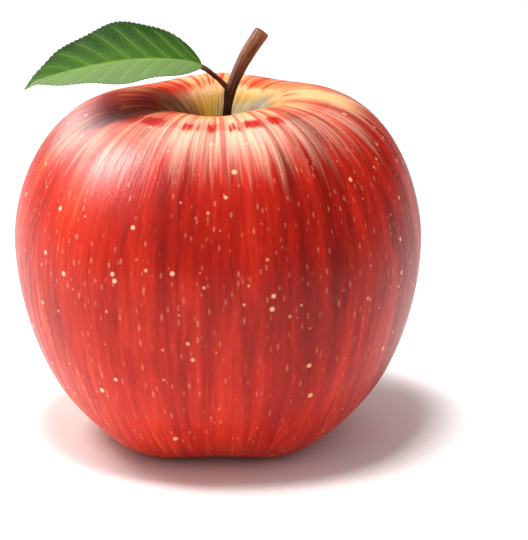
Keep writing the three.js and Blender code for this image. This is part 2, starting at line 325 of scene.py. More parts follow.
def shell(rings, marks=None, extra=None):
    """A closed surface over rows of rings that all have the same number of points. Each ring runs
    anticlockwise seen from the side that the rows go towards, and both ends close in a fan round
    their middle. Returns its points, its four-sided faces, its fans' faces, a UV mark for each
    corner of each face, and the extra value of each point."""
    rows, sides = rings.shape[:2]
    marks = marks_for(rows, sides) if marks is None else marks
    extra = np.zeros((rows, sides)) if extra is None else extra
    points = np.vstack([rings.reshape(-1, 3), rings[[0, -1]].mean(axis=1)])
    values = np.append(extra.ravel(), extra[[0, -1]].mean(axis=1))
    row, side = np.meshgrid(np.arange(rows - 1), np.arange(sides), indexing="ij")
    here, above, after = row * sides, (row + 1) * sides, (side + 1) % sides
    quads = np.stack([here + side, here + after, above + after, above + side], axis=-1)
    quad_marks = np.stack(
        [marks[:-1, :-1], marks[:-1, 1:], marks[1:, 1:], marks[1:, :-1]], axis=2
    )
    first = np.arange(sides)
    second, top = (first + 1) % sides, (rows - 1) * sides
    low_fan = np.stack([np.full(sides, rows * sides), second, first], axis=-1)
    high_fan = np.stack([np.full(sides, rows * sides + 1), top + first, top + second], axis=-1)
    middles = (marks[:, :-1] + marks[:, 1:]) / 2
    low_marks = np.stack([middles[0], marks[0, 1:], marks[0, :-1]], axis=1)
    high_marks = np.stack([middles[-1], marks[-1, :-1], marks[-1, 1:]], axis=1)
    fans = np.vstack([low_fan, high_fan])
    corners = np.vstack([part.reshape(-1, 2) for part in (quad_marks, low_marks, high_marks)])
    return points, quads.reshape(-1, 4), fans, corners, values


def make_piece(name, shells, material, slot, *nodes, extra_name=None):
    """One smooth piece made of closed shells, with its material. It rides on the body and stands
    for its nodes."""
    faces, count = [], 0
    for points, quads, fans, _, _ in shells:
        faces += (quads + count).tolist() + (fans + count).tolist()
        count += len(points)
    all_points, _, _, corners, values = zip(*shells)
    mesh = bpy.data.meshes.new(name)
    mesh.from_pydata(np.vstack(all_points).tolist(), [], faces)
    mesh.uv_layers.new(name="UVMap").data.foreach_set("uv", np.vstack(corners).ravel())
    if extra_name:
        attribute = mesh.attributes.new(extra_name, "FLOAT", "POINT")
        attribute.data.foreach_set("value", np.concatenate(values))
    mesh.shade_smooth()
    mesh.materials.append(material)
    piece = bpy.data.objects.new(name, mesh)
    bpy.context.scene.collection.objects.link(piece)
    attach(piece, BODY)
    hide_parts(*nodes)
    return piece


# ---------------------------------------------------------------- fruit

# Shares of the way along the outline, from the middle of the basin to the middle of the cavity.
BASIN_END = 0.16
WIDEST_AT = 0.47
CREST_AT = 0.8


def basin_height(sizes, radius):
    """Half a cosine wave, from the basin's depth on the axis down to nothing at the feet."""
    return sizes.basin_depth * (1 + np.cos(math.pi * radius / sizes.foot_radius)) / 2


def outline(sizes, way):
    """The outline's radius and height at shares of the way: out along the basin, up the cheek's
    cubic curve, over the shoulder's, and down the cavity, whose depth is a power of the way in."""
    cheek = bezier(
        (sizes.foot_radius, 0),
        (sizes.foot_radius + sizes.foot_reach, 0),
        (sizes.radius, sizes.widest_height - sizes.cheek_drop),
        (sizes.radius, sizes.widest_height),
        np.clip((way - BASIN_END) / (WIDEST_AT - BASIN_END), 0, 1),
    )
    shoulder = bezier(
        (sizes.radius, sizes.widest_height),
        (sizes.radius, sizes.widest_height + sizes.shoulder_drop),
        (sizes.crest_radius + sizes.shoulder_reach, sizes.height),
        (sizes.crest_radius, sizes.height),
        np.clip((way - WIDEST_AT) / (CREST_AT - WIDEST_AT), 0, 1),
    )
    basin_radius = sizes.foot_radius * way / BASIN_END
    inwards = np.clip((way - CREST_AT) / (1 - CREST_AT), 0, 1)
    stretch = [way < BASIN_END, way < WIDEST_AT, way < CREST_AT]
    radius = np.select(
        stretch, [basin_radius, cheek[..., 0], shoulder[..., 0]], sizes.crest_radius * (1 - inwards)
    )
    height = np.select(
        stretch,
        [basin_height(sizes, basin_radius), cheek[..., 1], shoulder[..., 1]],
        sizes.height - sizes.cavity_depth * inwards**sizes.cavity_power,
    )
    return radius, height


def fruit_points(sizes, way, turns):
    """Points of the skin. The outline is turned round the core, its radius swells by five lobes and
    a slight oval, and its height lifts between the feet and over the five shoulders."""
    radius, height = outline(sizes, way)
    rise = height / sizes.height
    lobes = np.cos(LOBES * (turns - sizes.lobe_turn))
    lobe_share = (
        sizes.lobe_swell
        + sizes.foot_lobe_swell * (1 - rise) ** 3
        + sizes.crest_lobe_swell * rise**3
    )
    swell = 1 + lobe_share * lobes + sizes.oval_swell * np.cos(2 * (turns - sizes.oval_turn))
    foot_share = np.where(way < BASIN_END, smooth(way / BASIN_END), bell(height, sizes.foot_fade))
    crest_share = np.where(
        way > CREST_AT,
        smooth((1 - way) / (1 - CREST_AT)),
        bell(sizes.height - height, sizes.crest_fade),
    )
    foot_lift = sizes.foot_valley * (1 - lobes) / 2
    crest_lift = sizes.crest_tilt * np.cos(turns) + sizes.crest_ripple * lobes
    height = height + foot_lift * foot_share + crest_lift * crest_share - sizes.foot_flat
    reach = radius * swell
    return np.stack(
        [CORE[0] + reach * np.cos(turns), CORE[1] + reach * np.sin(turns), height], axis=-1
    )


def dents(way, turns):
    """Shallow dents from -1 to 1: a few long waves round the fruit and along its meridians that
    don't fall in step, fading out at both ends of the core."""
    waves = (
        np.sin(3 * turns + 9 * way + 0.7) * np.cos(13 * way - 2 * turns)
        + 0.6 * np.sin(7 * turns - 17 * way + 2.1)
        + 0.35 * np.sin(12 * turns + 5 * way + 1.3)
    )
    return waves / 2 * smooth(way, 0.12, 0.3) * (1 - smooth(way, 0.78, 0.9))


def fruit_rings(sizes, rows, sides):
    """The skin with its dents, flattened where it stands."""
    way = (np.arange(1, rows) / rows)[:, None]
    turns = (np.arange(sides) / sides * FULL_TURN)[None, :]
    way, turns = np.broadcast_arrays(way, turns)
    rings = fruit_points(sizes, way, turns)
    outwards = np.stack([np.cos(turns), np.sin(turns), np.zeros_like(turns)], axis=-1)
    rings = rings + outwards * (sizes.dent_depth * dents(way, turns))[..., None]
    rings[..., 2] = np.maximum(rings[..., 2], 0)
    return rings


# ---------------------------------------------------------------- stem

# The stem's middle line, as shares of its whole height, of its lean and of its way back.
STEM_COURSE = [
    (0, 0.04, 0),
    (0.25, 0.12, 0.02),
    (0.45, 0.19, 0.05),
    (0.6, 0.27, 0.12),
    (0.74, 0.44, 0.3),
    (0.87, 0.68, 0.6),
    (1, 1, 1),
]
# How far the rim of the stem's leaning end rises above its middle, as a share of the knob's radius.
STEM_END_SLOPE = 0.8
NODE_SPREAD = 1.6 * MM  # of the swelling at the leaf, along the stem
# The rings that round off the stem's end: their reach and their rise, as shares of the knob's radius.
STEM_END = ((0.98, 0.14), (0.92, 0.26), (0.82, 0.34), (0.66, 0.37), (0.45, 0.34), (0.2, 0.3))


def stem_line(sizes, count):
    """Points of the stem's middle line."""
    rise, lean, back = np.array(STEM_COURSE, float).T
    height = lerp(STEM_FOOT, stem_tip_height(sizes), rise)
    points = np.stack([CORE[0] + sizes.lean * lean, CORE[1] + sizes.back * back, height], axis=-1)
    return smooth_line(points, count)


def stem_tip_height(sizes):
    """The middle of the knob's end, which leans, so that its upper edge is the frame's highest."""
    return STEM_TOP - STEM_END_SLOPE * sizes.tip_radius


def stem_radius(sizes, way):
    """Thick at the root, slim at the neck, and swelling from half way up into the knob."""
    root = (sizes.root_radius - sizes.neck_radius) * (1 - smooth(way, 0, 0.3))
    knob = (sizes.tip_radius - sizes.neck_radius) * smooth(way, 0.5, 0.97)
    return sizes.neck_radius + root + knob


def wrinkles(way, turns):
    """Lengthwise wrinkles from -1 to 1: waves round the stem that wander along it."""
    return (
        np.sin(5 * turns + 2.2 * np.sin(4 * way))
        + 0.8 * np.sin(9 * turns + 1.7 * np.sin(7 * way + 1) + 1)
        + 0.6 * np.sin(14 * turns - 2 * np.sin(9 * way + 2))
    ) / 2.4


def stem_rings(sizes, node_height, rows, sides):
    """Rings of the stem, with its wrinkles, its swelling at the leaf, and its rounded end, which
    dips a little in the middle."""
    way = np.linspace(0, 1, rows)[:, None]
    turns = np.arange(sides) / sides * FULL_TURN
    line = stem_line(sizes, rows)
    node = bell(line[:, 2:] - node_height, NODE_SPREAD) * (1 + np.cos(turns - math.pi)) / 2
    lumps = 0.5 * np.sin(2 * turns + 19 * way) * np.sin(27 * way + 1.5)
    relief = sizes.wrinkle * (wrinkles(way, turns) + lumps)
    radii = stem_radius(sizes, way) * (1 + relief) + sizes.node_swell * node
    rings = tube(line, radii, turns)
    end = line[-1]
    heading = (line[-1] - line[-2]) / np.linalg.norm(line[-1] - line[-2])
    caps = [
        end + (rings[-1] - end) * reach + heading * depth * sizes.tip_radius
        for reach, depth in STEM_END
    ]
    return np.concatenate([rings, np.array(caps)])


# ---------------------------------------------------------------- leaf

BLADE_PEAK = 0.77  # under 1 moves the blade's broadest place towards its base
VEIN_BEND = 0.2  # how far a side vein has run towards the tip at the margin, as a share of the blade
VEIN_BEND_POWER = 0.8
TIP_HOOK = 1.1 * MM  # how far the very tip bends down
MARGIN_WAVE = 0.35 * MM


def leaf_axes(sizes):
    """Unit vectors along the blade, across it towards +Y, and up."""
    heading = np.array([math.cos(sizes.heading), math.sin(sizes.heading), 0])
    across = np.array([math.sin(sizes.heading), -math.cos(sizes.heading), 0])
    return heading, across, np.array([0, 0, 1.0])


def leaf_node(stem, sizes):
    """The point of the stem's middle line where the stalk leaves it."""
    line = stem_line(stem, CURVE_STEPS)
    return np.array([np.interp(sizes.node_height, line[:, 2], axis) for axis in line.T])


def blade_wave(way):
    """A half wave over the blade's length that peaks a little before the middle."""
    return np.sin(math.pi * way**BLADE_PEAK)


def rib_points(stem, sizes, way):
    """The midrib's line: straight ahead from the blade's base, arched, with its tip dropped."""
    heading, _, up = leaf_axes(sizes)
    base = leaf_node(stem, sizes) + heading * sizes.stalk_reach + up * sizes.stalk_climb
    rise = sizes.arch * blade_wave(way) - sizes.tip_drop * way**2
    hook = TIP_HOOK * smooth(way, 0.9, 1) ** 2
    return base + heading * (sizes.length * way)[..., None] + up * (rise - hook)[..., None]


def vein_phase(sizes, way, side):
    """Counts the side veins: a whole number on each vein. A vein leaves the midrib and bends
    towards the tip, and the two halves are half a vein out of step."""
    reach = np.abs(side)
    return sizes.vein_pairs * (way - VEIN_BEND * reach**VEIN_BEND_POWER) + np.where(side > 0, 0.5, 0)


def blade_points(stem, sizes, way, side):
    """Points of the blade's middle surface. Side runs from -1 at the near margin to 1 at the far
    one. Each half is folded about the midrib, its margin curls down and has teeth that point to
    the tip, the surface sinks over the midrib and the veins, and it waves a little at the margin."""
    _, across, up = leaf_axes(sizes)
    reach = np.abs(side)
    width = sizes.half_width * blade_wave(way) ** 0.8 * (1 - 0.35 * smooth(way, 0.78, 1))
    tooth = (sizes.teeth * way) % 1 - 0.5
    toothed = reach**10 * smooth(way, 0.02, 0.12) * (1 - smooth(way, 0.9, 1))
    width = width + sizes.tooth_depth * tooth * toothed
    fold = np.where(side > 0, sizes.far_fold, sizes.near_fold)
    curl = sizes.margin_curl * side**2 * np.sin(math.pi * way)
    phase = vein_phase(sizes, way, side) % 1
    veined = smooth(reach, 0, 0.12) * (1 - smooth(reach, 0.8, 1))
    furrow = bell(np.minimum(phase, 1 - phase), 0.16) * veined
    channel = bell(reach, 0.07)
    wave = MARGIN_WAVE * reach**3 * np.sin(FULL_TURN * (2.6 * way + np.where(side > 0, 0.1, 0.45)))
    sink = sizes.vein_depth * (furrow + 1.2 * channel) * np.sin(math.pi * way) ** 0.5
    rise = width * reach * np.sin(fold) - curl - sink + wave * np.sin(math.pi * way)
    return (
        rib_points(stem, sizes, way)
        + across * (width * side * np.cos(fold))[..., None]
        + up * rise[..., None]
    )


def blade_rings(stem, sizes, rows, strips):
    """Flat loops across the blade, out over its upper side and back under it, with the UV marks
    (way, side) and a mark of how far each point is on the underside."""
    way = (np.arange(1, rows) / rows)[:, None]
    side = np.linspace(-1, 1, strips + 1)[None, :]
    way, side = np.broadcast_arrays(way, side)
    middle = blade_points(stem, sizes, way, side)
    half = sizes.thickness / 2 * (1 - 0.6 * np.abs(side) ** 4) * (1 - 0.5 * smooth(way, 0.8, 1))
    lift = np.stack([np.zeros_like(half), np.zeros_like(half), half], axis=-1)
    rings = np.concatenate([middle + lift, (middle - lift)[:, ::-1]], axis=1)
    v = np.concatenate([side, side[:, ::-1], side[:, :1]], axis=1) / 2 + 0.5
    u = np.broadcast_to(way[:, :1], v.shape)
    under = np.concatenate([np.zeros_like(side), np.ones_like(side)], axis=1)
    return rings, np.stack([u, v], axis=-1), under


def stalk_rings(stem, sizes, rows, sides):
    """The stalk from inside the stem to the blade, carrying on as the midrib's underside."""
    node = leaf_node(stem, sizes)
    up = np.array([0, 0, 1.0])
    base = rib_points(stem, sizes, np.array([0.0]))[0]
    shares = np.array([0.02, 0.2, 0.4, 0.6, 0.8, 0.94])
    rib = rib_points(stem, sizes, shares) - up * (sizes.thickness / 2 + sizes.vein_depth)
    halfway = lerp(node, base, 0.5) + up * sizes.stalk_bow
    line = smooth_line([node, halfway, *rib], rows)
    way = np.linspace(0, 1, rows)[:, None]
    turns = np.arange(sides) / sides * FULL_TURN
    stalk_end = np.linalg.norm(base - node) / (np.linalg.norm(base - node) + sizes.length)
    stalk = lerp(sizes.stalk_radius * 1.5, sizes.stalk_radius, smooth(way, 0, stalk_end * 0.45))
    stalk = lerp(stalk, sizes.rib_radius, smooth(way, stalk_end * 0.5, stalk_end))
    rib_part = np.clip((way - stalk_end) / (1 - stalk_end), 0, 1)
    radii = np.where(way < stalk_end, stalk, lerp(sizes.rib_radius, sizes.rib_tip_radius, rib_part))
    radii = radii * (1 + 0.06 * np.sin(3 * turns + 40 * way))
    return tube(line, radii, turns), stalk_end


# ---------------------------------------------------------------- dried flower

SEPAL_CRINKLE = 0.12 * MM
ROOT_CUP = 0.3 * MM  # how far a sepal's margins hang below its middle at the root
TIP_CUP = 0.35 * MM  # how far they stand above it at the tip
CUSHION_DROP = 0.4 * MM  # of the cushion's middle below the flesh
CUSHION_HALF_HEIGHT = 0.9 * MM


def sepal_rings(fruit, sizes, index, rows, strips):
    """One dried sepal under the basin's wall: narrow at its root, broad, then pointed. It hangs a
    gap below the wall, curls away from it, is cupped at its root and twists a little."""
    turn_out = fruit.lobe_turn + (index + 0.5) / LOBES * FULL_TURN
    outwards = np.array([math.cos(turn_out), math.sin(turn_out), 0])
    sideways = np.array([-math.sin(turn_out), math.cos(turn_out), 0])
    way = np.linspace(0, 1, rows)[:, None]
    side = np.linspace(-1, 1, strips + 1)[None, :]
    radius = sizes.eye_radius + sizes.sepal_length * way
    wall = fruit_points(fruit, BASIN_END * radius / fruit.foot_radius, np.full_like(radius, turn_out))
    width = sizes.sepal_half_width * (0.12 + 0.88 * np.sin(math.pi * (0.3 + 0.7 * way)))
    crinkle = SEPAL_CRINKLE * np.sin(9 * way + 2 * side + 2 * index) * (1 - side**2)
    twist = 0.25 * way * side * width * math.sin(2.4 * index + 1)
    cup = ROOT_CUP * side**2 * (1 - way) - TIP_CUP * side**2 * way
    height = wall[..., 2] - sizes.sepal_gap - sizes.sepal_curl * way**1.6 - cup + crinkle + twist
    lower = (
        np.array([CORE[0], CORE[1], 0])
        + outwards * radius[..., None]
        + sideways * (width * side)[..., None]
        + np.array([0, 0, 1.0]) * (height - sizes.sepal_thickness / 2)[..., None]
    )
    thick = sizes.sepal_thickness * (1 - 0.55 * way) * (1 - 0.5 * side**2)
    upper = lower + np.array([0, 0, 1.0]) * thick[..., None]
    return np.concatenate([lower, upper[:, ::-1]], axis=1)


def stamen_rings(fruit, sizes, index, rows, sides):
    """One withered stamen: a thread that hangs from the eye, leans out and ends in a small bead."""
    seat = basin_height(fruit, sizes.eye_radius) - fruit.foot_flat
    turn_out = index / sizes.stamens * FULL_TURN
    outwards = np.array([math.cos(turn_out), math.sin(turn_out), 0])
    reach = sizes.stamen_length * (0.8 + 0.2 * math.sin(3 * index))
    core = np.array([CORE[0], CORE[1], seat])
    lean = 1.2 + 0.3 * math.sin(5 * index)
    course = [(0.6, 0), (1, reach / 2), (lean, reach)]
    points = [core + outwards * sizes.stamen_ring * out - (0, 0, down) for out, down in course]
    way = np.linspace(0, 1, rows)[:, None]
    turns = np.arange(sides) / sides * FULL_TURN
    radii = sizes.stamen_radius * (1 + 0.9 * bell(way - 0.93, 0.07) + 0 * turns)
    return tube(smooth_line(points, rows), radii, turns)


def cushion_rings(fruit, sizes, rows, sides):
    """The pad that the stamens grow from: a flattened ball, partly sunk in the flesh."""
    seat = basin_height(fruit, 0) - fruit.foot_flat
    lift = np.linspace(-1, 1, rows + 2)[1:-1, None] * math.pi / 2
    turns = np.arange(sides) / sides * FULL_TURN
    radius = sizes.stamen_ring * 1.5 * np.cos(lift) * (1 + 0.05 * np.sin(7 * turns))
    height = seat - CUSHION_DROP + CUSHION_HALF_HEIGHT * np.sin(lift) + 0 * turns
    return np.stack(
        [CORE[0] + radius * np.cos(turns), CORE[1] + radius * np.sin(turns), height], axis=-1
    )


# ---------------------------------------------------------------- material tools


class Graph:
    """Adds nodes to one node tree, so that a material reads as a list of steps."""

    def __init__(self, tree):
        self.tree = tree

    def feed(self, socket, value):
        """Links a socket, or sets a plain value."""
        if isinstance(value, bpy.types.NodeSocket):
            self.tree.links.new(value, socket)
        elif socket.type == "RGBA":
            socket.default_value = (*value[:3], 1)
        else:
            socket.default_value = value

    def node(self, kind, feeds=None, **settings):
        """A node with its settings, and its inputs fed by name or by place."""
        made = self.tree.nodes.new("ShaderNode" + kind)
        for name, value in settings.items():
            setattr(made, name, value)
        for key, value in (feeds or {}).items():
            self.feed(made.inputs[key], value)
        return made

    def maths(self, operation, *values):
        """The result of a sum on numbers."""
        return self.node("Math", dict(enumerate(values)), operation=operation).outputs[0]

    def vector(self, operation, *values):
        """The result of a sum on vectors."""
        return self.node("VectorMath", dict(enumerate(values)), operation=operation).outputs[0]

    def together(self, x, y, z):
        """A vector of three numbers."""
        return self.node("CombineXYZ", {0: x, 1: y, 2: z}).outputs[0]

    def apart(self, vector):
        """The three numbers of a vector."""
        return list(self.node("SeparateXYZ", {0: vector}).outputs)

    def noise(self, vector, scale=1.0, detail=2.0, roughness=0.5, distortion=0.0):
        """Soft noise from 0 to 1."""
        feeds = {
            "Vector": vector,
            "Scale": scale,
            "Detail": detail,
            "Roughness": roughness,
            "Distortion": distortion,
        }
        return self.node("TexNoise", feeds).outputs[0]

    def spread(self, value, low, high, to_low=0.0, to_high=1.0):
        """A value mapped from one range to another in a soft S, and held at its ends."""
        feeds = {
            "Value": value,
            "From Min": low,
            "From Max": high,
            "To Min": to_low,
            "To Max": to_high,
        }
        return self.node("MapRange", feeds, interpolation_type="SMOOTHSTEP").outputs[0]

    def product(self, *values):
        """All the numbers multiplied together."""
        total = values[0]
        for value in values[1:]:
            total = self.maths("MULTIPLY", total, value)
        return total

    def band(self, value, rise, full, fade, gone):
        """1 between full and fade, 0 before rise and after gone, and a soft S between them."""
        return self.product(self.spread(value, rise, full), self.spread(value, fade, gone, 1.0, 0.0))

    def centred(self, mask, strength):
        """A mask moved to run from minus half its strength to plus half."""
        return self.product(self.maths("SUBTRACT", mask, 0.5), strength)

    def facing(self, round_, turn_):
        """How squarely a level unit vector points a turn from +X: 1 if it does, -1 if away."""
        feeds = {0: round_, 1: (math.cos(turn_), math.sin(turn_), 0)}
        return self.node("VectorMath", feeds, operation="DOT_PRODUCT").outputs["Value"]

    def mix(self, amount, first, second):
        """A colour between two."""
        feeds = {0: amount, 6: first, 7: second}
        return self.node("Mix", feeds, data_type="RGBA").outputs[2]

    def ramp(self, value, *stops):
        """A colour looked up on a ramp of (place, colour) stops."""
        made = self.node("ValToRGB", {0: value})
        elements = made.color_ramp.elements
        while len(elements) < len(stops):
            elements.new(1)
        for element, (place, level) in zip(elements, stops):
            element.position = place
            element.color = (*level, 1) if hasattr(level, "__len__") else (level, level, level, 1)
        return made.outputs[0]

    def use(self, tree, **feeds):
        """A node group with its inputs fed by name."""
        made = self.tree.nodes.new("ShaderNodeGroup")
        made.node_tree = tree
        for name, value in feeds.items():
            self.feed(made.inputs[name.replace("_", " ").capitalize()], value)
        return made.outputs


def new_group(name, inputs, outputs):
    """An empty node group, its graph, what it is given and its result. Inputs are (name, kind,
    default), and outputs are (name, kind)."""
    tree = bpy.data.node_groups.new(name, "ShaderNodeTree")
    for label, kind, default in inputs:
        socket = tree.interface.new_socket(label, in_out="INPUT", socket_type=kind)
        if default is not None:
            socket.default_value = default
    for label, kind in outputs:
        tree.interface.new_socket(label, in_out="OUTPUT", socket_type=kind)
    graph = Graph(tree)
    given = tree.nodes.new("NodeGroupInput").outputs
    result = tree.nodes.new("NodeGroupOutput").inputs
    return tree, graph, given, result


def once(build):
    """Makes a node group the first time it is asked for, and gives the same one after that."""
    made = []

    def give():
        if not made:
            made.append(build())
        return made[0]

    return give


@once
def spots_group():
    """Small round spots scattered in space, each with its own strength and size."""
    tree, graph, given, result = new_group(
        "Spots",
        [
            ("Place", "NodeSocketVector", None),
            ("Spacing", "NodeSocketFloat", 0.005),
            ("Radius", "NodeSocketFloat", 0.0006),
        ],
        [("Mask", "NodeSocketFloat"), ("Tint", "NodeSocketFloat")],
    )
    scale = graph.maths("DIVIDE", 1.0, given["Spacing"])
    cells = graph.node("TexVoronoi", {"Vector": given["Place"], "Scale": scale})
    tint = graph.apart(cells.outputs["Color"])[0]
    edge = graph.maths("DIVIDE", given["Radius"], given["Spacing"])
    edge = graph.product(edge, graph.spread(tint, 0.0, 1.0, 0.55, 1.25))
    inner = graph.product(edge, 0.45)
    mask = graph.spread(cells.outputs["Distance"], inner, edge, 1.0, 0.0)
    graph.feed(result["Mask"], mask)
    graph.feed(result["Tint"], tint)
    return tree


@once
def fibres_group():
    """Fine lines along a piece whose UV marks run round it and along it."""
    tree, graph, given, result = new_group(
        "Fibres",
        [
            ("Marks", "NodeSocketVector", None),
            ("Across", "NodeSocketFloat", 8.0),
            ("Lengthwise", "NodeSocketFloat", 3.0),
        ],
        [("Mask", "NodeSocketFloat")],
    )
    u, v, _ = graph.apart(given["Marks"])
    angle = graph.product(u, FULL_TURN)
    x = graph.product(graph.maths("COSINE", angle), given["Across"])
    y = graph.product(graph.maths("SINE", angle), given["Across"])
    z = graph.product(v, given["Lengthwise"])
    graph.feed(result["Mask"], graph.noise(graph.together(x, y, z), 1.0, 4.0, 0.6, 0.3))
    return tree


@once
def mottle_group():
    """Soft blotches of a size in metres, with finer ones inside them."""
    tree, graph, given, result = new_group(
        "Mottle",
        [("Place", "NodeSocketVector", None), ("Size", "NodeSocketFloat", 0.01)],
        [("Mask", "NodeSocketFloat")],
    )
    scale = graph.maths("DIVIDE", 1.0, given["Size"])
    graph.feed(result["Mask"], graph.noise(given["Place"], scale, 3.0, 0.55))
    return tree


def new_material(name):
    """An empty material, its graph, its shader, and its Object coordinates and UV marks."""
    material = bpy.data.materials.new(name)
    material.use_nodes = True
    tree = material.node_tree
    tree.nodes.clear()
    graph = Graph(tree)
    shader = graph.node("BsdfPrincipled")
    surface = tree.nodes.new("ShaderNodeOutputMaterial")
    tree.links.new(shader.outputs[0], surface.inputs["Surface"])
    place = graph.node("TexCoord").outputs["Object"]
    marks = graph.node("UVMap", uv_map="UVMap").outputs[0]
    return material, graph, shader, place, marks


def set_shader(graph, shader, **feeds):
    """Feeds a shader's inputs, named with underscores for spaces."""
    for name, value in feeds.items():
        label = name.replace("_", " ").title().replace("Ior", "IOR")
        graph.feed(shader.inputs[label], value)


def bump(graph, height, depth):
    """A normal from a height mask, whose full range stands a depth in metres."""
    return graph.node("Bump", {"Height": height, "Distance": depth, "Strength": 1.0}).outputs[0]


# ---------------------------------------------------------------- materials

SUN_TURN = math.radians(-38)  # the side that got the most sun, from +X
PALE_TURN = math.radians(-125)  # the side whose shoulder is pale
WEDGE_TURN = math.radians(2)  # of the pale wedge on the +X shoulder


def meridian(graph, round_, way, across, lengthwise, start=0.0):
    """A vector for noise that is stretched along the meridians. One step of it is a radius
    divided by across sideways, and the whole way divided by lengthwise along the skin."""
    x, y, _ = graph.apart(graph.vector("MULTIPLY", round_, (across, across, 0)))
    return graph.together(x, y, graph.maths("MULTIPLY_ADD", way, lengthwise, start))


def skin_streaks(graph, round_, way, place):
    """Streaks along the meridians, each as noise from 0 to 1: fine and medium ones that sway with
    a soft wobble, broad ones, and the bold ones of the crest."""
    wobble = graph.use(mottle_group(), place=place, size=0.016)["Mask"]
    bent = graph.maths("MULTIPLY_ADD", wobble, 0.05, way)
    sway = graph.centred(wobble, 0.07)
    swayed = graph.vector("ADD", round_, graph.together(sway, sway, 0.0))
    fine = graph.noise(meridian(graph, swayed, bent, 34, 11), 1.0, 4.0, 0.62, 0.35)
    medium = graph.noise(meridian(graph, swayed, bent, 13, 5, 3.1), 1.0, 3.0, 0.55, 0.4)
    broad = graph.noise(meridian(graph, round_, way, 4.5, 2, 7.3), 1.0, 2.0, 0.5, 0.2)
    crest = graph.noise(meridian(graph, round_, way, 19, 1.6, 4.4), 1.0, 3.0, 0.6, 0.15)
    return fine, medium, broad, crest


def skin_blush(graph, round_, way, streaks):
    """How red the skin is, from 0 for olive to 1 for maroon. It depends on the way up the fruit,
    the streaks and the side that got the sun, and on the -X crest, under the leaf, a deeper red is
    painted shade."""
    fine, medium, broad, crest = streaks
    blush = graph.ramp(
        way,
        (0.0, 0.12),
        (0.1, 0.3),
        (0.17, 0.56),
        (0.3, 0.66),
        (0.5, 0.74),
        (0.7, 0.7),
        (0.75, 0.66),
        (0.77, 0.5),
        (0.785, 0.42),
        (0.805, 0.44),
        (0.84, 0.42),
        (0.865, 0.2),
        (0.885, 0.06),
        (0.91, 0.0),
    )
    out_of_cavity = graph.spread(way, 0.8, 0.9, 1.0, 0.5)
    cheek = graph.maths("ADD", graph.centred(fine, 0.46), graph.centred(medium, 0.5))
    cheek = graph.maths("ADD", cheek, graph.centred(broad, 0.5))
    blush = graph.maths("MULTIPLY_ADD", cheek, out_of_cavity, blush)
    on_crest = graph.band(way, 0.66, 0.75, 0.82, 0.88)
    blush = graph.maths("MULTIPLY_ADD", graph.centred(crest, 1.35), on_crest, blush)
    sunny = graph.spread(way, 0.76, 0.84, 0.13, -0.08)
    blush = graph.maths("MULTIPLY_ADD", graph.facing(round_, SUN_TURN), sunny, blush)
    # Painted shade: the -X crest, where the leaf's shadow falls, is pushed to a deeper, darker red.
    leaf_shade_side = graph.spread(graph.apart(round_)[0], -0.85, -0.35, 0.2, 0.0)
    return graph.maths("MULTIPLY_ADD", leaf_shade_side, graph.spread(way, 0.72, 0.77), blush)


def pale_tongues(graph, round_, way, crest):
    """A mask of the pale tongues that run down from the crest, and how pale each side is. The tongues
    are left out of the -X crest, where the leaf's shadow falls, as painted shade.
    """
    pale_side = graph.spread(graph.facing(round_, PALE_TURN), -0.1, 0.85, 0.36, 0.68)
    reach = graph.noise(meridian(graph, round_, way, 17, 3, 5.2), 1.0, 3.0, 0.6, 0.2)
    reach = graph.maths("MULTIPLY_ADD", reach, 0.22, way)
    # Painted shade: no pale tongues on the -X crest under the leaf, so that part stays dark.
    out_of_leaf_shade = graph.maths(
        "MAXIMUM",
        graph.spread(graph.apart(round_)[0], -0.9, -0.35),
        graph.spread(way, 0.67, 0.74, 1.0, 0.0),
    )
    tongues = graph.product(
        graph.spread(reach, 0.74, 0.85),
        pale_side,
        graph.spread(crest, 0.4, 0.58, 1.0, 0.35),
        graph.spread(way, 0.748, 0.756, 1.0, 0.68),
        graph.spread(way, 0.785, 0.83, 1.0, 0.08),
        out_of_leaf_shade,
    )
    return tongues, pale_side


def red_patches(graph, round_, way, medium, pale_side):
    """A mask of the row of red patches just outside the lip of the pale side, with ragged ends."""
    ragged = graph.maths("ADD", way, graph.centred(medium, 0.025))
    patches = graph.noise(meridian(graph, round_, way, 8, 4, 2.2), 1.0, 3.0, 0.6)
    return graph.product(
        graph.spread(patches, 0.43, 0.53),
        graph.spread(pale_side, 0.42, 0.54),
        graph.band(ragged, 0.741, 0.753, 0.766, 0.778),
    )


def pale_wedge(graph, round_, way, fine):
    """A mask of the pale wedge on the +X shoulder, frayed by the fine streaks."""
    across = graph.maths("ADD", graph.facing(round_, WEDGE_TURN), graph.centred(fine, 0.02))
    frayed = graph.maths("ADD", way, graph.centred(fine, 0.06))
    return graph.product(
        graph.spread(across, 0.98, 1.0),
        graph.spread(frayed, 0.68, 0.75),
        graph.spread(frayed, 0.79, 0.85, 0.8, 0.0),
    )


def cavity_russet_and_shade(graph, round_, way):
    """A mask of corky russet on the cavity's wall, laid mostly on the -X side where the wall lies in
    shade, so it is partly painted shade.
    """
    cork = graph.noise(meridian(graph, round_, way, 5, 7, 8.8), 1.0, 4.0, 0.6, 0.4)
    return graph.product(
        graph.spread(cork, 0.3, 0.6, 0.35, 0.9),
        graph.spread(way, 0.8, 0.88),
        graph.spread(graph.apart(round_)[0], -0.75, 0.35, 1.0, 0.0),
    )


def skin_marks(graph, round_, way, place):
    """Masks of the small dashes along the meridians and of the round spots, on the cheek only."""
    on_cheek = graph.band(way, 0.1, 0.2, 0.7, 0.82)
    dashes = graph.use(
        spots_group(), place=meridian(graph, round_, way, 0.04, 0.06), spacing=0.0011, radius=0.0003
    )
    spots = graph.use(spots_group(), place=place, spacing=0.0036, radius=0.00054)
    strength = graph.spread(spots["Tint"], 0.0, 1.0, 0.45, 1.0)
    return (
        graph.product(dashes["Mask"], dashes["Tint"], 0.24, on_cheek),
        graph.product(spots["Mask"], strength, on_cheek),
    )


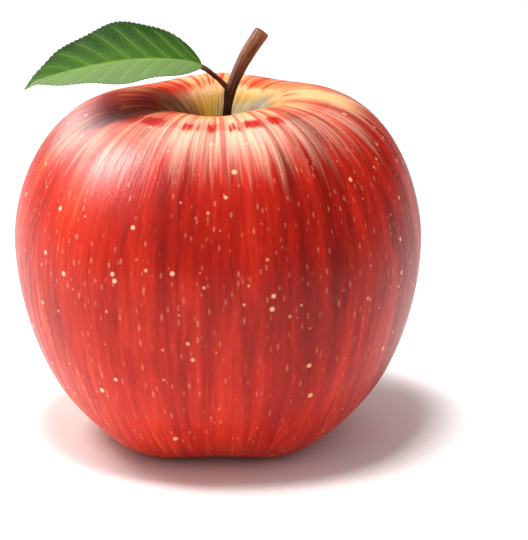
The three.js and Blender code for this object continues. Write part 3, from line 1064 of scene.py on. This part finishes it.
def skin_material(colours):
    """Skin: a blush from yellow to maroon, with pale tongues and a wedge on the shoulders, red
    patches round the lip, russet with painted shade on the cavity's -X wall, and pale dashes and spots."""
    material, graph, shader, place, marks = new_material("apple skin")
    x, y, _ = graph.apart(graph.vector("SUBTRACT", place, tuple(CORE)))
    round_ = graph.vector("NORMALIZE", graph.together(x, y, 0.0))
    way = graph.apart(marks)[1]
    streaks = skin_streaks(graph, round_, way, place)
    fine, medium, _, crest = streaks
    # Olive and lime at the low end paint shade deep in the cavity as well as its green skin.
    hue = graph.ramp(
        skin_blush(graph, round_, way, streaks),
        (0.0, colours.olive),
        (0.1, colours.lime),
        (0.3, colours.straw),
        (0.46, colours.orange),
        (0.6, colours.scarlet),
        (0.8, colours.crimson),
        (1.0, colours.maroon),
    )
    tongues, pale_side = pale_tongues(graph, round_, way, crest)
    hue = graph.mix(tongues, hue, colours.cream)
    hue = graph.mix(red_patches(graph, round_, way, medium, pale_side), hue, colours.crimson)
    hue = graph.mix(pale_wedge(graph, round_, way, fine), hue, colours.butter)
    hue = graph.mix(cavity_russet_and_shade(graph, round_, way), hue, colours.russet_and_shade)
    dashes, spot = skin_marks(graph, round_, way, place)
    sunned = graph.spread(graph.facing(round_, SUN_TURN), -0.1, 0.9, 0.0, 0.6)
    pale = graph.mix(sunned, colours.cream, colours.gold)
    hue = graph.mix(dashes, hue, pale)
    hue = graph.mix(spot, hue, pale)
    grain = graph.noise(place, 2600.0, 2.0, 0.5)
    relief = graph.maths("ADD", graph.product(fine, 0.9), graph.product(grain, 0.2))
    relief = graph.maths("MULTIPLY_ADD", spot, 0.5, relief)
    set_shader(
        graph,
        shader,
        base_color=hue,
        roughness=graph.spread(fine, 0.3, 0.7, 0.32, 0.42),
        specular_ior_level=0.2,
        normal=bump(graph, relief, 0.00015),
    )
    return material


def bark_material(colours):
    """Bark: dark at the root and in the furrows, pale on the ridges and at the knob."""
    material, graph, shader, place, marks = new_material("stem bark")
    fibres = graph.use(fibres_group(), marks=marks, across=3.0, lengthwise=5.0)["Mask"]
    patches = graph.use(mottle_group(), place=place, size=0.003)["Mask"]
    way = graph.apart(marks)[1]
    light = graph.maths("ADD", graph.centred(fibres, 1.3), graph.centred(patches, 0.7))
    light = graph.maths("ADD", light, graph.spread(way, 0.35, 0.95, 0.05, 0.6))
    hue = graph.ramp(light, (0.1, colours.bark_dark), (0.5, colours.bark), (0.95, colours.bark_pale))
    spots = graph.use(spots_group(), place=place, spacing=0.0022, radius=0.0003)
    hue = graph.mix(graph.product(spots["Mask"], 0.6), hue, colours.bark_pale)
    relief = graph.maths("ADD", fibres, graph.product(patches, 0.5))
    set_shader(
        graph,
        shader,
        base_color=hue,
        roughness=graph.spread(fibres, 0.3, 0.7, 0.75, 0.55),
        specular_ior_level=0.4,
        normal=bump(graph, relief, 0.00022),
    )
    return material


def leaf_material(sizes, colours):
    """Leaf: dark green between the veins, lighter along them, pale veins and midrib, a fine net of
    small veins, a darker margin, a near half made paler as painted sheen, and a duller, paler underside."""
    material, graph, shader, place, marks = new_material("leaf blade")
    way, side, _ = graph.apart(marks)
    side = graph.maths("MULTIPLY_ADD", side, 2.0, -1.0)
    reach = graph.maths("ABSOLUTE", side)
    far = graph.maths("GREATER_THAN", side, 0.0)
    bend = graph.product(graph.maths("POWER", reach, VEIN_BEND_POWER), -VEIN_BEND)
    phase = graph.product(graph.maths("ADD", way, bend), float(sizes.vein_pairs))
    phase = graph.maths("MULTIPLY_ADD", far, 0.5, phase)
    phase = graph.maths("FRACT", phase)
    apart = graph.maths("MINIMUM", phase, graph.maths("SUBTRACT", 1.0, phase))
    out = graph.spread(reach, 0.75, 1.0, 1.0, 0.0)
    vein = graph.product(graph.spread(apart, 0.015, 0.07, 1.0, 0.0), out)
    glow = graph.product(graph.spread(apart, 0.0, 0.4, 1.0, 0.0), out)
    midrib = graph.spread(reach, 0.015, 0.06, 1.0, 0.0)
    net = graph.node("TexVoronoi", {"Vector": place, "Scale": 900.0}, feature="DISTANCE_TO_EDGE")
    net = graph.spread(net.outputs["Distance"], 0.02, 0.12, 1.0, 0.0)
    patches = graph.use(mottle_group(), place=place, size=0.007)["Mask"]
    light = graph.maths("ADD", graph.product(glow, 0.35), graph.centred(patches, 0.9))
    light = graph.maths("ADD", light, graph.spread(reach, 0.0, 1.0, 0.55, 0.0))
    hue = graph.ramp(light, (0.0, colours.leaf_dark), (1.0, colours.leaf_light))
    hue = graph.mix(graph.product(net, 0.04), hue, colours.leaf_vein)
    hue = graph.mix(graph.product(vein, 0.22), hue, colours.leaf_vein)
    hue = graph.mix(graph.product(midrib, 0.6), hue, colours.leaf_vein)
    # Painted sheen: the near half is mixed towards the pale underside green, standing in for the
    # glancing reflection it catches.
    near = graph.maths("SUBTRACT", 1.0, far)
    hue = graph.mix(graph.product(near, 0.55), hue, colours.leaf_under_and_sheen)
    under = graph.node("Attribute", attribute_name="underside").outputs["Fac"]
    hue = graph.mix(graph.product(under, 0.75), hue, colours.leaf_under_and_sheen)
    relief = graph.maths("MULTIPLY_ADD", net, -0.5, graph.product(patches, 0.4))
    relief = graph.maths("MULTIPLY_ADD", vein, -0.6, relief)
    set_shader(
        graph,
        shader,
        base_color=hue,
        roughness=graph.maths("MULTIPLY_ADD", under, 0.2, 0.5),
        specular_ior_level=0.06,
        normal=bump(graph, relief, 0.0001),
    )
    return material


def stalk_material(colours, stalk_end):
    """Stalk: red-brown, turning into the pale green midrib where the blade begins."""
    material, graph, shader, place, marks = new_material("leaf stalk")
    way = graph.apart(marks)[1]
    fibres = graph.use(fibres_group(), marks=marks, across=2.0, lengthwise=14.0)["Mask"]
    patches = graph.use(mottle_group(), place=place, size=0.002)["Mask"]
    greening = graph.spread(way, stalk_end * 0.7, stalk_end * 1.5)
    hue = graph.mix(greening, colours.stalk, colours.leaf_vein)
    dark = graph.maths("ADD", graph.centred(fibres, 1.0), graph.centred(patches, 0.6))
    hue = graph.mix(graph.spread(dark, 0.3, -0.4, 0.0, 0.6), hue, colours.bark_dark)
    set_shader(
        graph,
        shader,
        base_color=hue,
        roughness=0.5,
        specular_ior_level=0.45,
        normal=bump(graph, fibres, 0.0001),
    )
    return material


def husk_material(name, light, dark):
    """Husk: dry and papery, with fine ribs, darker towards the tip."""
    material, graph, shader, place, marks = new_material(name)
    way = graph.apart(marks)[1]
    fibres = graph.use(fibres_group(), marks=marks, across=5.0, lengthwise=3.0)["Mask"]
    patches = graph.use(mottle_group(), place=place, size=0.0012)["Mask"]
    level = graph.maths("ADD", graph.centred(fibres, 1.2), graph.centred(patches, 0.8))
    level = graph.maths("ADD", level, graph.spread(way, 0.2, 1.0, 0.65, 0.25))
    hue = graph.ramp(level, (0.1, dark), (0.9, light))
    relief = graph.maths("ADD", fibres, patches)
    set_shader(
        graph,
        shader,
        base_color=hue,
        roughness=0.85,
        specular_ior_level=0.25,
        normal=bump(graph, relief, 0.00015),
    )
    return material


def floor_material():
    """Floor: matt white paper with a trace of tooth."""
    material, graph, shader, place, _ = new_material("white floor")
    tooth = graph.noise(place, 400.0, 2.0, 0.5)
    hue = graph.mix(tooth, shade(250, 249, 248), shade(254, 254, 254))
    set_shader(graph, shader, base_color=hue, roughness=0.9, specular_ior_level=0.1)
    return material


# ---------------------------------------------------------------- stage

VIEW_ELEVATION = math.radians(17)
VIEW_DISTANCE = 0.6
VIEW_AIM = (9 * MM, -1.3 * MM, 33.7 * MM)
LENS, SENSOR_WIDTH = 202.4, 36  # in millimetres, as a camera has them

LIGHT_DISTANCE = 0.6
SURROUND_STRENGTH = 0.47

# Each light: name, turn from +X and height in degrees, width, length, radiance and colour.
SOFTBOXES = [
    ("overhead softbox", 245, 78, 0.17, 0.15, 46, (1.0, 0.99, 0.975)),
    ("key softbox", 160, 50, 0.26, 0.26, 10, (1.0, 0.985, 0.97)),
]
# These only show as a sheen, and light no surface.
SHEENS = [
    ("top sheen", 92, 72, 0.34, 0.24, 6, (1.0, 0.985, 0.97)),
    ("left sheen", 174, 46, 0.3, 0.32, 41, (1.0, 0.97, 0.98)),
    ("back sheen", 122, 21, 0.24, 0.16, 11, (1.0, 0.96, 0.95)),
]


def aim(thing, place, target):
    """Puts a light or camera at a place, looking at a target."""
    thing.location = place
    toward = np.array(target, float) - np.array(place, float)
    down = math.acos(-toward[2] / np.linalg.norm(toward))
    heading = math.atan2(toward[1], toward[0]) - math.pi / 2
    thing.rotation_euler = (down, 0, heading)


def add_light(target, sheen, name, turn_, height, width, tall, radiance, tint):
    """One softbox aimed at the target. Its power follows from its radiance and its size."""
    data = bpy.data.lights.new(name, "AREA")
    data.shape = "RECTANGLE"
    data.size, data.size_y = width, tall
    data.energy, data.color = radiance * math.pi * width * tall, tint
    light = bpy.data.objects.new(name, data)
    light.visible_diffuse, light.visible_glossy = not sheen, sheen
    bpy.context.scene.collection.objects.link(light)
    turn_, height = math.radians(turn_), math.radians(height)
    level = math.cos(height)
    out = np.array([math.cos(turn_) * level, math.sin(turn_) * level, math.sin(height)])
    aim(light, np.array(target) + out * LIGHT_DISTANCE, target)


def add_lights(target):
    """The softboxes, the sheens, and an even white surround that the pieces don't mirror."""
    for softbox in SOFTBOXES:
        add_light(target, False, *softbox)
    for sheen in SHEENS:
        add_light(target, True, *sheen)
    world = bpy.data.worlds.new("white surround")
    world.use_nodes = True
    background = world.node_tree.nodes["Background"]
    background.inputs["Color"].default_value = (1, 1, 1, 1)
    background.inputs["Strength"].default_value = SURROUND_STRENGTH
    bpy.context.scene.world = world
    world.cycles_visibility.glossy = False


def add_floor():
    """A wide level sheet under the feet."""
    reach = 4.0
    points = [(-reach, -reach, 0), (reach, -reach, 0), (reach, reach, 0), (-reach, reach, 0)]
    mesh = bpy.data.meshes.new("floor")
    mesh.from_pydata(points, [], [(0, 1, 2, 3)])
    mesh.materials.append(floor_material())
    floor = bpy.data.objects.new("floor", mesh)
    bpy.context.scene.collection.objects.link(floor)


def add_camera():
    """A long lens, a little above the fruit, looking along +Y."""
    data = bpy.data.cameras.new("camera")
    data.lens, data.sensor_width = LENS, SENSOR_WIDTH
    camera = bpy.data.objects.new("camera", data)
    bpy.context.scene.collection.objects.link(camera)
    back = np.array([0, -math.cos(VIEW_ELEVATION), math.sin(VIEW_ELEVATION)])
    aim(camera, np.array(VIEW_AIM) + back * VIEW_DISTANCE, VIEW_AIM)
    bpy.context.scene.camera = camera


# ---------------------------------------------------------------- operators

# Rows along each surface, then sides round it or strips across it.
FRUIT_GRID = (260, 320)
STEM_GRID = (220, 96)
BLADE_GRID = (300, 56)
STALK_GRID = (180, 24)
SEPAL_GRID = (40, 16)
STAMEN_GRID = (40, 12)
CUSHION_GRID = (12, 48)


def check_fit(piece, *nodes):
    """Stops if a piece has left the box of the nodes that it stands for by over a millimetre."""
    corners = np.array([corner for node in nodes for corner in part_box(node)])
    points = np.empty(3 * len(piece.data.vertices), np.float32)
    piece.data.vertices.foreach_get("co", points)
    points = points.reshape(-1, 3)
    low_off = np.abs(points.min(axis=0) - corners.min(axis=0)).max()
    high_off = np.abs(points.max(axis=0) - corners.max(axis=0)).max()
    off = max(low_off, high_off)
    if off > MM:
        raise RuntimeError(f"{piece.name} is {off / MM:.2f} mm off the box of {nodes}")


class APPLE_OT_fruit(bpy.types.Operator):
    """Build the fruit's skin"""

    bl_idname = "apple.fruit"
    bl_label = "Fruit"

    def execute(self, context):
        settings = context.scene.apple
        skin = shell(fruit_rings(settings.fruit, *FRUIT_GRID))
        piece = make_piece("fruit_skin", [skin], skin_material(settings.colours), "skin", "fruit")
        check_fit(piece, "fruit")
        return {"FINISHED"}


class APPLE_OT_stem(bpy.types.Operator):
    """Build the woody stem"""

    bl_idname = "apple.stem"
    bl_label = "Stem"

    def execute(self, context):
        settings = context.scene.apple
        bark = shell(stem_rings(settings.stem, settings.leaf.node_height, *STEM_GRID))
        piece = make_piece(
            "stem_bark", [bark], bark_material(settings.colours), "stem_wood", "stem"
        )
        check_fit(piece, "stem")
        return {"FINISHED"}


class APPLE_OT_leaf(bpy.types.Operator):
    """Build the leaf's blade and its stalk"""

    bl_idname = "apple.leaf"
    bl_label = "Leaf"

    def execute(self, context):
        settings = context.scene.apple
        stem, leaf, colours = settings.stem, settings.leaf, settings.colours
        blade = shell(*blade_rings(stem, leaf, *BLADE_GRID))
        green = leaf_material(leaf, colours)
        make_piece("leaf_blade", [blade], green, "leaf", "leaf", extra_name="underside")
        rings, stalk_end = stalk_rings(stem, leaf, *STALK_GRID)
        brown = stalk_material(colours, stalk_end)
        make_piece("leaf_stalk", [shell(rings)], brown, "leaf", "leaf")
        return {"FINISHED"}


class APPLE_OT_sepals(bpy.types.Operator):
    """Build the five dried sepals"""

    bl_idname = "apple.sepals"
    bl_label = "Sepals"

    def execute(self, context):
        settings = context.scene.apple
        colours = settings.colours
        material = husk_material("dried sepal", colours.husk, colours.husk_dark)
        for index, node in enumerate(SEPALS):
            sepal = shell(sepal_rings(settings.fruit, settings.flower, index, *SEPAL_GRID))
            piece = make_piece(f"dried_{node}", [sepal], material, "dried_flower", node)
            check_fit(piece, node)
        return {"FINISHED"}


class APPLE_OT_stamens(bpy.types.Operator):
    """Build the withered stamens"""

    bl_idname = "apple.stamens"
    bl_label = "Stamens"

    def execute(self, context):
        settings = context.scene.apple
        fruit, flower, colours = settings.fruit, settings.flower, settings.colours
        shells = [shell(cushion_rings(fruit, flower, *CUSHION_GRID))]
        for index in range(flower.stamens):
            shells.append(shell(stamen_rings(fruit, flower, index, *STAMEN_GRID)))
        material = husk_material("withered stamen", colours.thread, colours.husk_dark)
        make_piece("withered_stamens", shells, material, "stamens", "stamen_tuft")
        return {"FINISHED"}


class APPLE_OT_stage(bpy.types.Operator):
    """Build the floor, the lights and the camera"""

    bl_idname = "apple.stage"
    bl_label = "Stage"

    def execute(self, context):
        low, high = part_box("fruit")
        add_floor()
        add_lights(tuple((low + high) / 2))
        add_camera()
        context.scene.view_settings.view_transform = "Standard"
        return {"FINISHED"}


OPERATORS = (
    APPLE_OT_fruit,
    APPLE_OT_stem,
    APPLE_OT_leaf,
    APPLE_OT_sepals,
    APPLE_OT_stamens,
    APPLE_OT_stage,
)


class APPLE_PT_sidebar(bpy.types.Panel):
    """The apple's operators and settings"""

    bl_idname = "APPLE_PT_sidebar"
    bl_label = "Apple"
    bl_space_type = "VIEW_3D"
    bl_region_type = "UI"
    bl_category = "Apple"

    def draw(self, context):
        for operator in OPERATORS:
            self.layout.operator(operator.bl_idname)
        settings = context.scene.apple
        for group in (settings.fruit, settings.stem, settings.leaf, settings.flower, settings.colours):
            box = self.layout.box()
            for name in group.__annotations__:
                box.prop(group, name)


CLASSES = (
    FruitSizes,
    StemSizes,
    LeafSizes,
    FlowerSizes,
    AppleColours,
    AppleSettings,
    *OPERATORS,
    APPLE_PT_sidebar,
)


def register():
    for cls in CLASSES:
        bpy.utils.register_class(cls)
    bpy.types.Scene.apple = bpy.props.PointerProperty(type=AppleSettings)


def unregister():
    del bpy.types.Scene.apple
    for cls in reversed(CLASSES):
        bpy.utils.unregister_class(cls)


def main():
    """Builds every piece and the stage, in order."""
    register()
    for operator in OPERATORS:
        area, name = operator.bl_idname.split(".")
        getattr(getattr(bpy.ops, area), name)()


if __name__ == "__main__":
    main()
